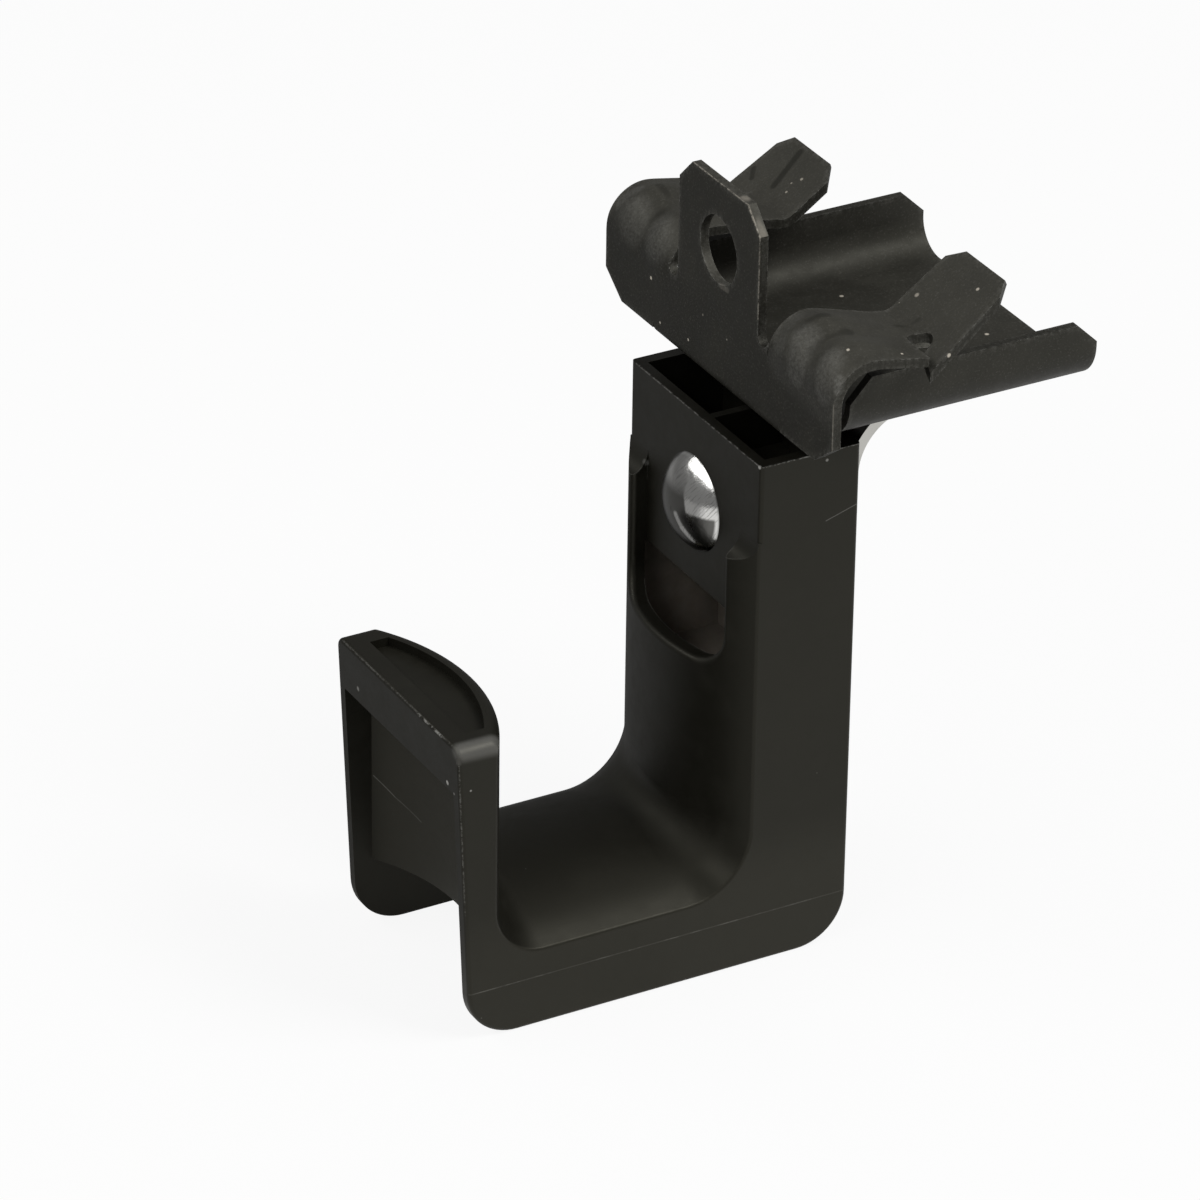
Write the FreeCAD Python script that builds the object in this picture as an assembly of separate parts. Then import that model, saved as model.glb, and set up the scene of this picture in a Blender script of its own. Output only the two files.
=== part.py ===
import math
import os

import FreeCAD
import Part

# Sizes are in millimetres. The hook is drawn with x = 0 at the foot of its tip, z = 0 under its
# foot and y = 0 on its middle plane, and everything is moved to the part's own frame at the end.

# Hook moulding
hook_width = 27.2
hook_length = 45.0
hook_height = 59.5
shank_depth = 11.8
tip_foot_thickness = 3.0
tip_height = 35.5
tip_lean = 1.6
saddle_height = 9.1
parting_height = 5.9
foot_radius = 5.8
shank_inner_radius = 7.5
tip_inner_radius = 5.8
crown_radius = 23.6
side_wall = 1.4
shank_web = 1.8
tip_web = 1.8
saddle_underside = 8.0
front_wall = 1.2
rear_wall = 1.4
tip_rim_height = 5.8
tip_pocket_depth = 1.0
tip_pocket_rim = 1.6
tip_pocket_front_rim = 2.4
tip_pocket_side_rim = 3.0
cell_floor_drop = 33.6
cell_floor_thickness = 1.6
rib_thickness = 1.0
rib_drop = 0.8
shoulder_drop = 11.7
shoulder_cove = 2.8
pocket_width = 19.4
pocket_drop = 19.6
window_drop = 24.9
window_radius = 3.8
window_lip_round = 0.6
edge_round = 0.45
crown_foot = 1.0
tip_top_round = 1.2

# Hook rivet
rivet_diameter = 5.0
rivet_hole_clearance = 0.3
boss_diameter = 9.6
hook_rivet_drop = 10.4
hook_rivet_head_diameter = 10.8
hook_rivet_head_height = 2.8
set_head_diameter = 8.4
set_head_height = 1.6

# Rear bracket
bracket_thickness = 1.2
bracket_width = 22.6
bracket_inner_radius = 6.4
bracket_leg_drop = 18.0
bracket_flange_length = 20.6
bracket_corner_radius = 3.0
clamp_rivet_from_leg = 14.2

# Beam clamp
sheet = 1.0
clamp_set_back = 2.3
clamp_lift = 2.5
plate_width = 47.0
plate_corner_height = 0.9
plate_chamfer_width = 3.5
plate_chamfer_height = 2.6
tab_width = 16.5
tab_height = 23.3
tab_chamfer = 2.6
tab_hole_diameter = 7.5
tab_hole_height = 15.7
slot_width = 2.0
slot_bottom_height = 8.8
floor_bend_radius = 0.5
channel_width = 35.5
channel_length = 35.0
channel_wall_height = 7.4
channel_inner_radius = 3.5
wall_front = 5.5
wall_front_chamfer_run = 2.5
wall_front_chamfer_height = 2.7
wall_rear_chamfer_run = 2.4
wall_rear_chamfer_height = 2.3
ear_rise = 8.1
ear_radius = 4.5
ear_fall_angle = 10.8
ear_points = 13
neck_inner_edge = 11.8
neck_outer_edge = 19.2
flare_angle = 35.0
flare_bend_radius = 1.6
flare_end = 21.3
flare_end_inner = 14.9
flare_end_outer = 20.1
flare_shoulder = 19.9
flare_shoulder_inner = 11.8
flare_shoulder_outer = 22.4
flare_end_height_near = 16.7
flare_end_height_far = 14.9
tooth_front = 11.3
strip_end = 11.2
relief_x = 12.6
relief_diameter = 2.6
rib_height = 0.75
ear_blend_start = 5.9
clamp_rivet_head_diameter = 8.4
clamp_rivet_head_height = 1.8

# How far a cutting shape runs past the face that it opens
cut_past = 1.0

# Positions worked out from the sizes above
half_width = hook_width / 2
shank_front = hook_length - shank_depth
crown_base = math.sqrt(crown_radius ** 2 - half_width ** 2)
crown_rise = crown_radius - crown_base
inside_half = half_width - side_wall
rivet_height = hook_height - hook_rivet_drop
shoulder_foot = hook_height - shoulder_drop
window_top = hook_height - pocket_drop
window_bottom = hook_height - window_drop
cell_floor = hook_height - cell_floor_drop
plate_front = shank_front + clamp_set_back
clamp_bottom = hook_height + clamp_lift
seat_height = clamp_bottom + channel_wall_height
clamp_rivet_x = hook_length + clamp_rivet_from_leg
hole_diameter = rivet_diameter + rivet_hole_clearance
ear_inner_edge = tab_width / 2 + slot_width


def vec(x, y, z):
    return FreeCAD.Vector(x, y, z)


def box(x0, x1, y0, y1, z0, z1):
    return Part.makeBox(x1 - x0, y1 - y0, z1 - z0, vec(x0, y0, z0))


def round_bar(diameter, start, direction, length):
    return Part.makeCylinder(diameter / 2, length, start, direction)


def rounded_face(corners, place):
    """Face through flat corners (a, b, radius); place turns a and b into a point in space."""
    legs = []
    for index, (a, b, radius) in enumerate(corners):
        before = corners[index - 1]
        after = corners[(index + 1) % len(corners)]
        back = FreeCAD.Vector(before[0] - a, before[1] - b, 0).normalize()
        ahead = FreeCAD.Vector(after[0] - a, after[1] - b, 0).normalize()
        corner = FreeCAD.Vector(a, b, 0)
        if radius == 0:
            legs.append((corner, None, corner))
            continue
        half_angle = back.getAngle(ahead) / 2
        cut = radius / math.tan(half_angle)
        inward = (back + ahead).normalize()
        middle = corner + inward * (radius / math.sin(half_angle) - radius)
        legs.append((corner + back * cut, middle, corner + ahead * cut))
    edges = []
    for index, (start, middle, end) in enumerate(legs):
        previous_end = legs[index - 1][2]
        if (start - previous_end).Length > 1e-6:
            line = Part.LineSegment(place(previous_end.x, previous_end.y), place(start.x, start.y))
            edges.append(line.toShape())
        if middle is not None:
            arc = Part.Arc(place(start.x, start.y), place(middle.x, middle.y), place(end.x, end.y))
            edges.append(arc.toShape())
    return Part.Face(Part.Wire(edges))


def side_prism(corners, y0, y1):
    """Prism drawn on the side view, from y0 to y1."""
    face = rounded_face(corners, lambda a, b: vec(a, y0, b))
    return face.extrude(vec(0, y1 - y0, 0))


def front_prism(corners, x0, x1):
    """Prism drawn on the front view, from x0 to x1."""
    face = rounded_face(corners, lambda a, b: vec(x0, a, b))
    return face.extrude(vec(x1 - x0, 0, 0))


def top_prism(corners, z0, z1):
    """Prism drawn on the plan, from z0 to z1."""
    face = rounded_face(corners, lambda a, b: vec(a, b, z0))
    return face.extrude(vec(0, 0, z1 - z0))


def crown_section(depth_in, half, back, place, corner=0):
    """Section of the web: an arc across the width, depth_in below the cable surface."""
    radius = crown_radius - depth_in
    centre_rise = math.sqrt((radius - corner) ** 2 - (half - corner) ** 2)
    slope_rise = centre_rise / (radius - corner)
    slope_side = (half - corner) / (radius - corner)
    arc_rise = radius * slope_rise - crown_base
    arc_side = radius * slope_side
    side_rise = centre_rise - crown_base
    lean = math.hypot(slope_rise, slope_side + 1)
    crown = Part.Arc(place(arc_rise, -arc_side), place(radius - crown_base, 0), place(arc_rise, arc_side))
    edges = [crown.toShape()]
    for side in (1, -1):
        foot = place(-back, side * half)
        turn = place(side_rise, side * half)
        if corner > 0:
            middle = place(
                side_rise + corner * slope_rise / lean,
                side * (half - corner + corner * (slope_side + 1) / lean),
            )
            edges.append(Part.Arc(place(arc_rise, side * arc_side), middle, turn).toShape())
        edges.append(Part.LineSegment(turn, foot).toShape())
    edges.append(Part.LineSegment(place(-back, half), place(-back, -half)).toShape())
    return Part.Face(Part.Wire(Part.sortEdges(edges)[0]))


def shank_run(depth_in, half, back, z0, z1, corner=0):
    face = crown_section(depth_in, half, back, lambda n, y: vec(shank_front - n, y, z0), corner)
    return face.extrude(vec(0, 0, z1 - z0))


def tip_run(depth_in, half, back, z0, z1, corner=0):
    face = crown_section(depth_in, half, back, lambda n, y: vec(tip_foot_thickness + n, y, z0), corner)
    return face.extrude(vec(0, 0, z1 - z0))


def saddle_run(depth_in, half, back, x0, x1, corner=0):
    face = crown_section(depth_in, half, back, lambda n, y: vec(x0, y, saddle_height + n), corner)
    return face.extrude(vec(x1 - x0, 0, 0))


def corner_run(radius, axis_x, side):
    """Crowned inside corner; side is 1 towards the shank and -1 towards the tip."""
    axis_z = saddle_height + radius
    face = crown_section(
        0,
        half_width,
        crown_foot,
        lambda n, y: vec(axis_x + side * (radius - n), y, axis_z),
        edge_round,
    )
    return face.revolve(vec(axis_x, 0, axis_z), vec(0, 1, 0), side * 90)


def make_hook_body():
    crown_top = shoulder_foot + shoulder_cove
    body = side_prism(
        [
            (-tip_lean, tip_height, 0),
            (0, 0, foot_radius),
            (hook_length, 0, foot_radius),
            (hook_length, hook_height, 0),
            (shank_front + crown_foot, hook_height, 0),
            (shank_front + crown_foot, saddle_height - crown_foot, shank_inner_radius + crown_foot),
            (tip_foot_thickness - crown_foot, saddle_height - crown_foot, tip_inner_radius + crown_foot),
            (tip_foot_thickness - crown_foot, tip_height, 0),
        ],
        -half_width,
        half_width,
    )
    shank_axis = shank_front - shank_inner_radius
    tip_axis = tip_foot_thickness + tip_inner_radius
    crowns = [
        shank_run(0, half_width, crown_foot, saddle_height + shank_inner_radius, crown_top, edge_round),
        corner_run(shank_inner_radius, shank_axis, 1),
        saddle_run(0, half_width, crown_foot, tip_axis, shank_axis, edge_round),
        corner_run(tip_inner_radius, tip_axis, -1),
        tip_run(0, half_width, crown_foot, saddle_height + tip_inner_radius, tip_height, edge_round),
    ]
    flat_front = top_prism(
        [
            (shank_front, -half_width, edge_round),
            (shank_front + crown_foot, -half_width, 0),
            (shank_front + crown_foot, half_width, 0),
            (shank_front, half_width, edge_round),
        ],
        crown_top,
        hook_height,
    )
    body = body.fuse(crowns + [flat_front]).removeSplitter()
    # Shoulders above the crown, the rivet pocket between them and the window below it
    far_front = shank_front - crown_rise - cut_past
    shoulder = side_prism(
        [
            (shank_front, shoulder_foot, shoulder_cove),
            (far_front, shoulder_foot, 0),
            (far_front, hook_height, 0),
            (shank_front, hook_height, 0),
        ],
        -half_width - cut_past,
        half_width + cut_past,
    )
    pocket = box(far_front, shank_front, -pocket_width / 2, pocket_width / 2, window_top, hook_height)
    window = front_prism(
        [
            (-pocket_width / 2, window_top, 0),
            (-pocket_width / 2, window_bottom, window_radius),
            (pocket_width / 2, window_bottom, window_radius),
            (pocket_width / 2, window_top, 0),
        ],
        far_front,
        shank_front + front_wall + cut_past,
    )
    # Open hollows behind the web: tip face, underside and the foot of the shank
    inner_depth = shank_depth - rear_wall
    lower_top = cell_floor - cell_floor_thickness
    tip_reach = tip_foot_thickness + tip_lean + cut_past
    saddle_end = hook_length - rear_wall
    back_end = hook_length + cut_past
    hollows = [
        tip_run(tip_web, inside_half, tip_reach, -cut_past, tip_height - tip_rim_height),
        box(-tip_lean - cut_past, saddle_end, -inside_half, inside_half, -cut_past, saddle_underside),
        shank_run(shank_web, inside_half, inner_depth, -cut_past, lower_top),
        box(shank_front, back_end, -inside_half, inside_half, -cut_past, parting_height),
    ]
    # Two cells in the upper shank, parted by a rib that runs down to the rivet boss
    cells = shank_run(shank_web, inside_half, inner_depth, cell_floor, window_top)
    cells = cells.fuse(
        box(
            shank_front + front_wall,
            hook_length - rear_wall,
            -inside_half,
            inside_half,
            cell_floor,
            hook_height + cut_past,
        )
    )
    boss = round_bar(boss_diameter, vec(shank_front, 0, rivet_height), vec(1, 0, 0), shank_depth)
    rib = box(
        shank_front,
        hook_length,
        -rib_thickness / 2,
        rib_thickness / 2,
        rivet_height,
        hook_height - rib_drop,
    )
    cells = cells.cut(boss.fuse(rib))
    tip_pocket = crown_section(
        tip_pocket_rim,
        half_width - tip_pocket_side_rim,
        tip_foot_thickness + tip_lean - tip_pocket_front_rim,
        lambda n, y: vec(tip_foot_thickness + n, y, tip_height - tip_pocket_depth),
    ).extrude(vec(0, 0, tip_pocket_depth + cut_past))
    hole_start = vec(far_front, 0, rivet_height)
    rivet_hole = round_bar(hole_diameter, hole_start, vec(1, 0, 0), back_end - far_front)
    body = body.cut([shoulder, pocket, window, cells, rivet_hole] + hollows)
    return round_hook_edges(body, tip_pocket)


def round_hook_edges(body, tip_pocket):
    """Round the top of the tip, the lip of the window and the sides, then sink the pocket in the tip."""
    body = body.removeSplitter()
    body = body.makeFillet(
        tip_top_round,
        [e for e in top_edges(body) if not flat_at(e.BoundBox, "X", -tip_lean)],
    )
    lip_edges = [e for e in body.Edges if on_window_lip(e)]
    body = body.makeFillet(window_lip_round, lip_edges)
    side_edges = []
    for edge in body.Edges:
        bounds = edge.BoundBox
        on_side = flat_at(bounds, "Y", half_width) or flat_at(bounds, "Y", -half_width)
        outside = bounds.ZMin < parting_height or bounds.XMax < 0 or bounds.XMin > shank_front
        long_enough = bounds.XLength + bounds.ZLength > 2 * edge_round
        if on_side and outside and long_enough and not flat_at(bounds, "Z", hook_height):
            side_edges.append(edge)
    return body.makeFillet(edge_round, side_edges).cut(tip_pocket)


def top_edges(body):
    """Edges in the flat top of the tip."""
    return [e for e in body.Edges if flat_at(e.BoundBox, "Z", tip_height)]


def on_window_lip(edge):
    """True for the lower outline of the window where it opens on the crowned face."""
    bounds = edge.BoundBox
    middle = edge.valueAt((edge.FirstParameter + edge.LastParameter) / 2)
    points = [middle] + [vertex.Point for vertex in edge.Vertexes]
    crown_axis = shank_front + crown_base
    on_crown = all(abs(math.hypot(p.x - crown_axis, p.y) - crown_radius) < 1e-3 for p in points)
    across = max(-bounds.YMin, bounds.YMax) < pocket_width / 2 + 1e-4
    return on_crown and across and window_bottom - 1e-4 < bounds.ZMin < window_top


def flat_at(bounds, axis, value):
    """True where an edge lies in the plane axis = value."""
    low = getattr(bounds, axis + "Min")
    high = getattr(bounds, axis + "Max")
    return abs(low - value) < 1e-4 and abs(high - value) < 1e-4


def make_rivet(grip, head_diameter, head_height, place, axis):
    """Domed head, shank and set head turned about one axis; place takes length and radius."""
    head_radius = head_diameter / 2
    sphere = (head_radius ** 2 + head_height ** 2) / (2 * head_height)
    half_angle = math.asin(head_radius / sphere) / 2
    dome = Part.Arc(
        place(-head_height, 0),
        place(-head_height + sphere * (1 - math.cos(half_angle)), sphere * math.sin(half_angle)),
        place(0, head_radius),
    )
    shank_radius = rivet_diameter / 2
    set_radius = set_head_diameter / 2
    points = [
        place(0, head_radius),
        place(0, shank_radius),
        place(grip, shank_radius),
        place(grip, set_radius),
        place(grip + set_head_height / 2, set_radius),
        place(grip + set_head_height, set_radius - set_head_height / 2),
        place(grip + set_head_height, 0),
        place(-head_height, 0),
    ]
    edges = [dome.toShape()]
    for start, end in zip(points, points[1:]):
        edges.append(Part.LineSegment(start, end).toShape())
    face = Part.Face(Part.Wire(edges))
    return face.revolve(place(0, 0), axis, 360)


def make_hook_rivet():
    return make_rivet(
        shank_depth + bracket_thickness,
        hook_rivet_head_diameter,
        hook_rivet_head_height,
        lambda a, r: vec(shank_front + a, 0, rivet_height + r),
        vec(1, 0, 0),
    )


def make_clamp_rivet():
    return make_rivet(
        sheet + bracket_thickness,
        clamp_rivet_head_diameter,
        clamp_rivet_head_height,
        lambda a, r: vec(clamp_rivet_x + r, 0, clamp_bottom + sheet - a),
        vec(0, 0, 1),
    )


def make_rear_bracket():
    leg_bottom = hook_height - bracket_leg_drop
    flange_end = hook_length + bracket_flange_length
    leg_back = hook_length + bracket_thickness
    flange_bottom = clamp_bottom - bracket_thickness
    bracket = side_prism(
        [
            (hook_length, leg_bottom, 0),
            (hook_length, clamp_bottom, bracket_inner_radius + bracket_thickness),
            (flange_end, clamp_bottom, 0),
            (flange_end, flange_bottom, 0),
            (leg_back, flange_bottom, bracket_inner_radius),
            (leg_back, leg_bottom, 0),
        ],
        -bracket_width / 2,
        bracket_width / 2,
    )
    corners = []
    for edge in bracket.Edges:
        bounds = edge.BoundBox
        leg_corner = flat_at(bounds, "Z", leg_bottom) and bounds.YLength < 1e-4
        flange_corner = flat_at(bounds, "X", flange_end) and bounds.YLength < 1e-4
        if leg_corner or flange_corner:
            corners.append(edge)
    bracket = bracket.makeFillet(bracket_corner_radius, corners)
    return bracket.cut(rivet_holes())


def rivet_holes():
    """Clearance holes for both rivets."""
    bracket_bottom = clamp_bottom - bracket_thickness - cut_past
    across_start = vec(hook_length - cut_past, 0, rivet_height)
    across = round_bar(hole_diameter, across_start, vec(1, 0, 0), bracket_thickness + 2 * cut_past)
    down_start = vec(clamp_rivet_x, 0, bracket_bottom)
    down = round_bar(hole_diameter, down_start, vec(0, 0, 1), bracket_thickness + sheet + 2 * cut_past)
    return [across, down]


def to_clamp(shape):
    """Clamp pieces are drawn from the front face and bottom edge of the plate."""
    shape.translate(vec(plate_front, 0, clamp_bottom))
    return shape


def make_plate():
    """Front plate with the centre tab, its hole and the two relief slots."""
    half = plate_width / 2
    tab = tab_width / 2
    slot_outer = tab + slot_width
    slot_top = slot_bottom_height + slot_width
    corners = [
        (half - plate_chamfer_width, plate_corner_height, 0),
        (half, plate_corner_height + plate_chamfer_height, 0),
        (half, ear_blend_start, 0),
        (slot_outer, ear_blend_start, 0),
        (slot_outer, slot_top, 0),
        (tab, slot_top, 0),
        (tab, tab_height - tab_chamfer, 0),
        (tab - tab_chamfer, tab_height, 0),
    ]
    mirrored = [(-a, b, radius) for a, b, radius in reversed(corners)]
    plate = front_prism(corners + mirrored, 0, sheet)
    hole_start = vec(-cut_past, 0, tab_hole_height)
    cuts = [round_bar(tab_hole_diameter, hole_start, vec(1, 0, 0), sheet + 2 * cut_past)]
    for side in (1, -1):
        slot = [
            (side * tab, slot_bottom_height, slot_width / 2),
            (side * slot_outer, slot_bottom_height, slot_width / 2),
            (side * slot_outer, tab_height, 0),
            (side * tab, tab_height, 0),
        ]
        cuts.append(front_prism(slot, -cut_past, sheet + cut_past))
    floor_half = channel_width / 2 - channel_inner_radius - sheet
    bend_reach = floor_bend_radius + sheet
    cuts.append(box(-cut_past, sheet + cut_past, -floor_half, floor_half, -cut_past, bend_reach))
    bend = side_prism(
        [
            (0, bend_reach, 0),
            (0, 0, bend_reach),
            (wall_front + sheet, 0, 0),
            (wall_front + sheet, sheet, 0),
            (sheet, sheet, floor_bend_radius),
            (sheet, bend_reach, 0),
        ],
        -floor_half,
        floor_half,
    )
    return plate.cut(cuts).fuse(bend)


def make_channel():
    """Floor and side walls under the flange."""
    half = channel_width / 2
    section = [
        (-half, channel_wall_height, 0),
        (-half, 0, channel_inner_radius + sheet),
        (half, 0, channel_inner_radius + sheet),
        (half, channel_wall_height, 0),
        (half - sheet, channel_wall_height, 0),
        (half - sheet, sheet, channel_inner_radius),
        (-half + sheet, sheet, channel_inner_radius),
        (-half + sheet, channel_wall_height, 0),
    ]
    outline = [
        (wall_front, 0, 0),
        (channel_length, 0, 0),
        (channel_length, channel_wall_height - wall_rear_chamfer_height, 0),
        (channel_length - wall_rear_chamfer_run, channel_wall_height, 0),
        (wall_front + wall_front_chamfer_run, channel_wall_height, 0),
        (wall_front, channel_wall_height - wall_front_chamfer_height, 0),
    ]
    channel = front_prism(section, wall_front, channel_length)
    return channel.common(side_prism(outline, -half, half))


def ear_stations():
    """Outer surface of an ear from plate to neck as (x, z, normal x, normal z, rib strength)."""
    sweep = math.radians(90 + ear_fall_angle)
    fall = math.tan(math.radians(ear_fall_angle))
    rise = ear_rise - ear_blend_start
    bend = ear_radius * sweep
    bend_end = ear_radius * (1 - math.cos(sweep))
    bend_top = ear_rise + ear_radius * math.sin(sweep)
    strip = (strip_end - bend_end) / math.cos(sweep - math.pi / 2)
    total = rise + bend + strip
    lengths = [rise * share for share in (0, 0.5, 1)]
    lengths += [rise + bend * step / 6 for step in range(1, 7)]
    lengths += [rise + bend + strip * share for share in (0.33, 0.67, 1)]
    stations = []
    for length in lengths:
        angle = min(max((length - rise) / ear_radius, 0), sweep)
        nx = -math.cos(angle)
        nz = math.sin(angle)
        if length <= rise:
            x = 0
            z = ear_blend_start + length
        elif length <= rise + bend:
            x = ear_radius * (1 + nx)
            z = ear_rise + ear_radius * nz
        else:
            x = bend_end + (length - rise - bend) * math.cos(sweep - math.pi / 2)
            z = bend_top - (x - bend_end) * fall
        stations.append((x, z, nx, nz, math.sin(math.pi * length / total) ** 2))
    return stations


def rib_wave(share):
    """Height of the two pressed ribs across an ear."""
    return rib_height * math.sin(2 * math.pi * share) ** 2


def make_ear(side):
    outer = plate_width / 2
    stations = ear_stations()
    wires = []
    for x, z, nx, nz, strength in stations:
        run = max(0, (x - ear_radius) / (strip_end - ear_radius))
        inner = ear_inner_edge + (neck_inner_edge - ear_inner_edge) * run
        top = []
        under = []
        for step in range(ear_points):
            share = step / (ear_points - 1)
            lift = strength * rib_wave(share)
            y = side * (inner + (outer - inner) * share)
            top.append(vec(x + nx * lift, y, z + nz * lift))
            under.append(vec(x + nx * (lift - sheet), y, z + nz * (lift - sheet)))
        top_curve = Part.BSplineCurve()
        top_curve.interpolate(top)
        under_curve = Part.BSplineCurve()
        under_curve.interpolate(under)
        wires.append(
            Part.Wire(
                [
                    top_curve.toShape(),
                    Part.LineSegment(top[-1], under[-1]).toShape(),
                    under_curve.toShape(),
                    Part.LineSegment(under[0], top[0]).toShape(),
                ]
            )
        )
    return Part.makeLoft(wires, True, False)


def make_neck_and_flare(side):
    """Neck behind an ear, the flare bent up from it and the tooth that points down and forward."""
    fall = math.radians(ear_fall_angle)
    rise = math.radians(flare_angle)
    x0, z0, nx, nz, strength = ear_stations()[-1]
    # Bend line on the top surface, where the falling ear meets the rising flare
    flare_top = flare_end_height_near if side < 0 else flare_end_height_far
    bend_x = (z0 + x0 * math.tan(fall) - flare_top + flare_end * math.tan(rise)) / (
        math.tan(fall) + math.tan(rise)
    )
    bend_z = z0 - (bend_x - x0) * math.tan(fall)
    flare_nx = -math.sin(rise)
    flare_nz = math.cos(rise)
    miter = sheet / (1 + nx * flare_nx + nz * flare_nz)
    neck = side_prism(
        [
            (x0, z0, 0),
            (bend_x, bend_z, flare_bend_radius),
            (flare_end, flare_top, 0),
            (flare_end - sheet * flare_nx, flare_top - sheet * flare_nz, 0),
            (bend_x - miter * (nx + flare_nx), bend_z - miter * (nz + flare_nz), flare_bend_radius + sheet),
            (x0 - sheet * nx, z0 - sheet * nz, 0),
        ],
        -plate_width,
        plate_width,
    )
    neck_outline = [
        (0, side * neck_inner_edge, 0),
        (0, side * neck_outer_edge, 0),
        (flare_shoulder, side * neck_outer_edge, 0),
        (flare_shoulder, side * neck_inner_edge, 0),
    ]
    low = -plate_width
    neck = neck.common(top_prism(neck_outline, low, plate_width))
    lead = tooth_front - sheet
    lead_z = flare_top - (flare_end - lead) * math.tan(rise)
    slab = side_prism(
        [
            (lead, lead_z, 0),
            (flare_end, flare_top, 0),
            (flare_end - sheet * flare_nx, flare_top - sheet * flare_nz, 0),
            (lead - sheet * flare_nx, lead_z - sheet * flare_nz, 0),
        ],
        -plate_width,
        plate_width,
    )
    clear_bend = bend_x + (flare_bend_radius + sheet) * math.tan((fall + rise) / 2)
    flare_outline = [
        (clear_bend, side * neck_inner_edge, 0),
        (flare_shoulder, side * flare_shoulder_inner, 0),
        (flare_end + sheet, side * flare_end_inner, 0),
        (flare_end + sheet, side * flare_end_outer, 0),
        (flare_shoulder, side * flare_shoulder_outer, 0),
        (tooth_front, side * plate_width / 2, 0),
        (relief_x, side * neck_outer_edge, 0),
        (clear_bend, side * neck_outer_edge, 0),
    ]
    flare = slab.common(top_prism(flare_outline, low, plate_width))
    return neck, flare


def make_beam_clamp():
    pieces = [make_channel()]
    reliefs = []
    for side in (1, -1):
        pieces.append(make_ear(side))
        pieces.extend(make_neck_and_flare(side))
        relief_start = vec(relief_x, side * neck_outer_edge, ear_rise)
        reliefs.append(round_bar(relief_diameter, relief_start, vec(0, 0, 1), flare_end_height_near))
    clamp = make_plate().fuse(pieces).cut(reliefs).removeSplitter()
    return to_clamp(clamp).cut(rivet_holes())


def export(shapes):
    os.makedirs("parts", exist_ok=True)
    shift = vec(-(plate_front + sheet), 0, -seat_height)
    for name, shape in shapes.items():
        placed = shape.copy()
        placed.translate(shift)
        placed.exportStep("parts/" + name + ".step")
        volume = round(placed.Volume, 1)
        print(name, "volume", volume, "valid", placed.isValid(), "solids", len(placed.Solids))


export(
    {
        "hook_body": make_hook_body(),
        "hook_rivet": make_hook_rivet(),
        "rear_bracket": make_rear_bracket(),
        "clamp_rivet": make_clamp_rivet(),
        "beam_clamp": make_beam_clamp(),
    }
)
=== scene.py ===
import math

import bpy
from mathutils import Matrix, Vector


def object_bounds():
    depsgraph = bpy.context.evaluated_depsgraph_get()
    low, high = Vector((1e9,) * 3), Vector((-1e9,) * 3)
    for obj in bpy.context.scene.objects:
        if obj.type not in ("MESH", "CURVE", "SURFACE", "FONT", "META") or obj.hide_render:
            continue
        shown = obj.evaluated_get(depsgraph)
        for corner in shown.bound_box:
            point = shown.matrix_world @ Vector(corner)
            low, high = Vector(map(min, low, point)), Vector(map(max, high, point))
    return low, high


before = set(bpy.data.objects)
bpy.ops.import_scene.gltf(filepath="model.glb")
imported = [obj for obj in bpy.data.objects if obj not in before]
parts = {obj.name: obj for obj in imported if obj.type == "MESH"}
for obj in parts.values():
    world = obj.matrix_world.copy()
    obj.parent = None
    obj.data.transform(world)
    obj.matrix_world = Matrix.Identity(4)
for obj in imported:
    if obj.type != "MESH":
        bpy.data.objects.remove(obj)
cadLow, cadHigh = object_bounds()
print("frame loaded:", ", ".join(sorted(parts)))

mm = 0.001  # the frame is in metres, sizes here are written in millimetres
solid = {"speck": 0.5, "spot": 0.45, "stroke": 0.35}  # share of a mark's radius inside its soft edge
edgeSamples = 6
noiseMean = 0.5


# A number inside a material, so that shader maths reads as plain expressions
class Value:
    def __init__(self, finish, socket):
        self.finish = finish
        self.socket = socket

    def __add__(self, other):
        return self.finish.maths("ADD", self, other)

    def __radd__(self, other):
        return self.finish.maths("ADD", other, self)

    def __sub__(self, other):
        return self.finish.maths("SUBTRACT", self, other)

    def __rsub__(self, other):
        return self.finish.maths("SUBTRACT", other, self)

    def __mul__(self, other):
        return self.finish.maths("MULTIPLY", self, other)

    def __rmul__(self, other):
        return self.finish.maths("MULTIPLY", other, self)

    def __truediv__(self, other):
        return self.finish.maths("DIVIDE", self, other)

    def __pow__(self, other):
        return self.finish.maths("POWER", self, other)

    def __abs__(self):
        return self.finish.maths("ABSOLUTE", self, 0)


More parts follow.
